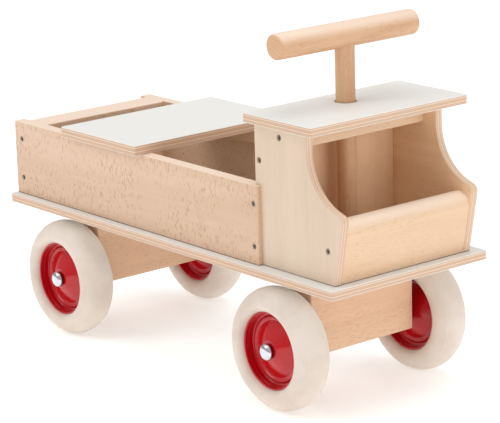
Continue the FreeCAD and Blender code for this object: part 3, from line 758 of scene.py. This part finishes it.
def discOutline(way):    # pressed sheet: flange, trough, raised ring and dish, out to the face round the hub
    wall = rim["bore"] - rim["metal"]
    flange = wall - rim["metal"]
    trough, ring, dishRim = [rim["bore"] - disc[name] for name in ("trough", "ring", "dishRim")]
    dish, hubFace, hole = disc["dish"], disc["hubFace"], disc["hole"]
    face = [(flange, disc["flange"], 0), (flange, 4.7 * mm, 1.2 * mm), (trough, 4 * mm, 2 * mm),
            (ring, 7.2 * mm, 1.3 * mm), (dishRim, 4.6 * mm, 2 * mm), (dish, 10.8 * mm, 9 * mm),
            (hubFace, 15.6 * mm, 3 * mm), (hole, 16.4 * mm, 0)]
    back = [(hole, 15 * mm, 0), (hubFace - 0.5 * mm, 14 * mm, 3 * mm), (dish, 9.2 * mm, 9 * mm),
            (dishRim - 0.2 * mm, 3.2 * mm, 1 * mm), (ring, 5.6 * mm, 1 * mm),
            (trough - 0.3 * mm, 2.4 * mm, 1 * mm), (wall, 3.2 * mm, 1 * mm), (wall, disc["flange"], 0)]
    return rounded([(radius, way * height, curve) for radius, height, curve in face + back], 5)


def makeWheels():
    creamRubber = tyreMaterial("creamRubber", rubber)
    redEnamel = enamelMaterial("redEnamel", enamel)
    naturalNylon = nylonMaterial("naturalNylon", paleNylon)
    blackNylon = nylonMaterial("blackNylon", darkNylon)
    for end in ("rear", "front"):
        for side, sign in sides:
            corner = f"{end}_{side.lower()}"
            low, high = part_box(f"{corner}_tyre")
            outwards = aim((low + high) / 2, Vector((0, sign, 0)))
            tread = lay(lathe(tyreOutline(), True, 128), outwards)
            show(f"{end}{side}Tyre", tread, creamRubber, f"{corner}_tyre", angle=60)
            barrel = lay(lathe(rimOutline(), True, 128), outwards)
            show(f"{end}{side}Rim", barrel, redEnamel, f"{corner}_rim", angle=60)
            for name, way in (("Outer", 1), ("Inner", -1)):
                pressed = lay(lathe(discOutline(way), True, 128), outwards)
                show(f"{end}{side}{name}Disc", pressed, redEnamel, f"{corner}_{name.lower()}_disc", angle=60)
            # the near-black bush also stands in for the shade in the ring behind the cap
            paint(f"{corner}_hub_bush", blackNylon)
    paint("post_bush", naturalNylon)


cap = {"skirt": 5.6 * mm, "bore": 4.8 * mm, "rimRound": 0.4 * mm}
# the dome of a push-on cap: share of its radius, and height
capDome = [(1.0, 1.6 * mm), (0.97, 2.4 * mm), (0.86, 3.7 * mm), (0.68, 4.7 * mm), (0.45, 5.3 * mm),
           (0.22, 5.5 * mm)]


def makeCaps(end, material):
    low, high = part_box(f"{end}_axle_caps")
    centre = (low + high) / 2
    radius = (high.z - low.z) / 2
    brim = [(cap["bore"], 0.2 * mm), (radius - cap["rimRound"], 0), (radius, cap["rimRound"])]
    profile = brim + [(radius * share, height) for share, height in capDome] + [(0, cap["skirt"])]
    caps = []
    for y, way in ((low.y + cap["skirt"], -1), (high.y - cap["skirt"], 1)):
        caps.append(lay(lathe(profile, False, 48), aim(Vector((centre.x, y, centre.z)), Vector((0, way, 0)))))
    show(f"{end}AxleCaps", merge(caps), material, f"{end}_axle_caps", angle=60)


def makeMetal():
    brightZinc = metalMaterial("brightZinc", zinc)
    drawnSteel = metalMaterial("drawnSteel", drawn)
    bluedSteel = metalMaterial("bluedSteel", darkAndShadedSteel)
    dullZinc = metalMaterial("screwZinc", screwZinc)
    for end in ("rear", "front"):
        makeCaps(end, brightZinc)
        paint(f"{end}_axle", drawnSteel)
        # the near-black washers also stand in for the shade in the ring behind the cap
        paint(f"{end}_axle_washers", bluedSteel)
    for node in ("thrust_washer", "post_pin", "collar_pin"):
        paint(node, drawnSteel)
    for name, places in screws.items():
        title = "".join(word.title() for word in name.split("_"))
        heads = merge([screwMesh(*place) for place in places])
        show(title[0].lower() + title[1:], heads, dullZinc, name, angle=50)


def makeHiddenTurnings():
    collar = woodMaterial("collarBeech", beechTurned, "Z", 6.0)
    for node in ("post_collar", "steering_stops"):
        paint(node, collar)


makeFlatBoards()
print("flat boards done")
makeCargoBox()
makeCab()
print("cargo box and cab done")
makeAxleBlocks()
makeSteering()
makeWheels()
makeMetal()
makeHiddenTurnings()
print("steering, wheels and metal done")

# sizes in metres
studio = {"floor": rgb(253, 253, 253), "floorTint": rgb(250, 250, 249), "glow": 0.3, "horizon": 0.3,
          "zenith": 0.72, "zenithAt": 0.75, "floorGap": 0.5 * mm, "floorHalf": 9}
lamps = {    # place, width and height, and watts; all aim at the truck's middle
    "key": ((-1.2, -2.6, 2.6), (1.8, 1.8), 27.0),
    "fill": ((3.2, 0.6, 0.9), (2.2, 1.6), 18.0),
    "top": ((0.2, 0.3, 3.0), (2.4, 2.4), 32.0),
}
view = {"eye": (2.1858, -1.7539, 0.9133), "azimuth": 51.45, "elevation": 14.90, "roll": -1.82, "lens": 178.13,
        "sensor": 36, "shift": (0.0435, 0.0024), "farthest": 50}


def makeFloor():
    mesh = bmesh.new()
    bmesh.ops.create_grid(mesh, x_segments=2, y_segments=2, size=studio["floorHalf"])
    data = bpy.data.meshes.new("floor")
    mesh.to_mesh(data)
    mesh.free()
    graph = Graph(bpy.data.materials.new("floorPaper"))
    tint = graph.noise(graph.point(), 3.0, 2.0)
    graph.set(Base_Color=graph.mix(tint, studio["floor"], studio["floorTint"]), Roughness=0.9)
    graph.set(Emission_Color=(1.0, 1.0, 1.0), Emission_Strength=studio["glow"])
    data.materials.append(graph.owner)
    floor = bpy.data.objects.new("floor", data)
    bpy.context.scene.collection.objects.link(floor)
    floor.location.z = cadBounds[0][2] - studio["floorGap"]


def makeLamps():
    target = Vector((0, 0, 200 * mm))
    for name, (place, size, watts) in lamps.items():
        lamp = bpy.data.lights.new(name, "AREA")
        lamp.shape = "RECTANGLE"
        lamp.size, lamp.size_y = size
        lamp.energy = watts
        holder = bpy.data.objects.new(name, lamp)
        holder.location = place
        holder.rotation_euler = (target - Vector(place)).to_track_quat("-Z", "Y").to_euler()
        bpy.context.scene.collection.objects.link(holder)


def makeCamera():
    lens = bpy.data.cameras.new("camera")
    lens.lens = view["lens"]
    lens.sensor_width = view["sensor"]
    lens.shift_x, lens.shift_y = view["shift"]
    lens.clip_end = view["farthest"]
    camera = bpy.data.objects.new("camera", lens)
    turn = (Matrix.Rotation(math.radians(view["azimuth"]), 4, "Z")
            @ Matrix.Rotation(math.radians(90 - view["elevation"]), 4, "X")
            @ Matrix.Rotation(math.radians(view["roll"]), 4, "Z"))
    camera.matrix_world = Matrix.Translation(view["eye"]) @ turn
    bpy.context.scene.collection.objects.link(camera)
    bpy.context.scene.camera = camera


def makeWorld():    # white, brighter towards the zenith
    graph = Graph(bpy.data.worlds.new("studio"), "Background")
    height = graph.split(graph.node("TexCoord", None, "Generated"))[2]
    strength = graph.node("MapRange", None, Value=height, From_Min=0.0, From_Max=studio["zenithAt"],
                          To_Min=studio["horizon"], To_Max=studio["zenith"])
    graph.set(Color=(1.0, 1.0, 1.0), Strength=strength)
    bpy.context.scene.world = graph.owner


makeFloor()
makeLamps()
makeCamera()
makeWorld()
bpy.context.scene.view_settings.view_transform = "Standard"
print("studio done")
